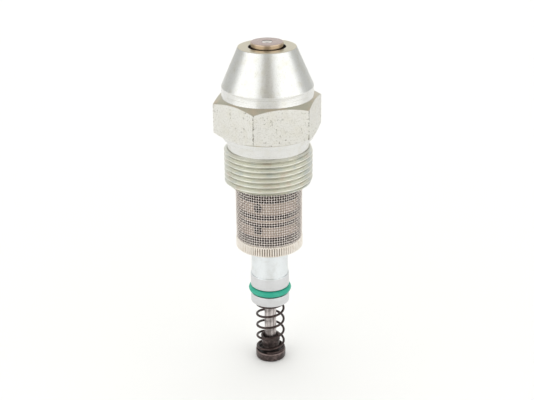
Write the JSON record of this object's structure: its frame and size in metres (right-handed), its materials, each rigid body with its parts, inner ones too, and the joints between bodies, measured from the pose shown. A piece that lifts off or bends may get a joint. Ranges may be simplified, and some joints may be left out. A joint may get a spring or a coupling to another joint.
{
  "type": "cartridge valve",
  "caption": "Screw-in needle cartridge with a coned hexagon head, gauze strainer, sealed spigot and a spring-returned push rod that shuts the orifice.",
  "frame": {"origin": "on the axis, in the plane of the seat face under the hexagon's washer face", "axes": "+Z along the axis, out of the orifice; the needle and its knob lie towards -Z; a hexagon corner stands 15 degrees from +X"},
  "size_m": [0.0302, 0.0302, 0.098],
  "materials": {
    "zinc_plated_steel": "bright zinc plate, turned",
    "hardened_steel": "hardened and lapped, straw tint",
    "machined_steel": "fine turned",
    "copper": "soft annealed copper",
    "nickel_plated_brass": "dull nickel plate",
    "stainless_gauze": "plain woven wire",
    "black_seal_rubber": "moulded nitrile",
    "green_seal_rubber": "moulded fluorocarbon rubber",
    "bronze": "sintered bronze",
    "ground_steel": "centreless ground",
    "spring_steel": "blued spring steel",
    "oiled_spring_steel": "oil tempered wire, dark brown",
    "blackened_steel": "black oxide, oiled"
  },
  "bodies": {
    "housing": {"nozzle_body": "zinc_plated_steel", "orifice_insert": "hardened_steel", "swirl_disc": "hardened_steel", "clamp_nut": "machined_steel", "stem_gasket": "copper", "return_stem": "machined_steel", "strainer_core": "nickel_plated_brass", "strainer_mesh": "stainless_gauze", "strainer_top_ring": "nickel_plated_brass", "strainer_end_ring": "nickel_plated_brass", "strainer_seal": "black_seal_rubber", "stem_o_ring": "green_seal_rubber", "front_guide": "bronze", "rear_guide": "bronze", "rear_guide_clip": "spring_steel", "return_spring": "oiled_spring_steel"},
    "needle_set": {"needle": "ground_steel", "needle_stop_clip": "spring_steel", "needle_knob": "blackened_steel", "knob_jam_screw": "blackened_steel"}
  },
  "joints": [
    {"name": "needle_slide", "type": "slide", "parent": "housing", "child": "needle_set", "axis": [0, 0, 1], "range_m": [0, 0.0025], "stiffness_N_per_m": 900, "springref_m": -0.004, "deforming": ["return_spring"]}
  ]
}
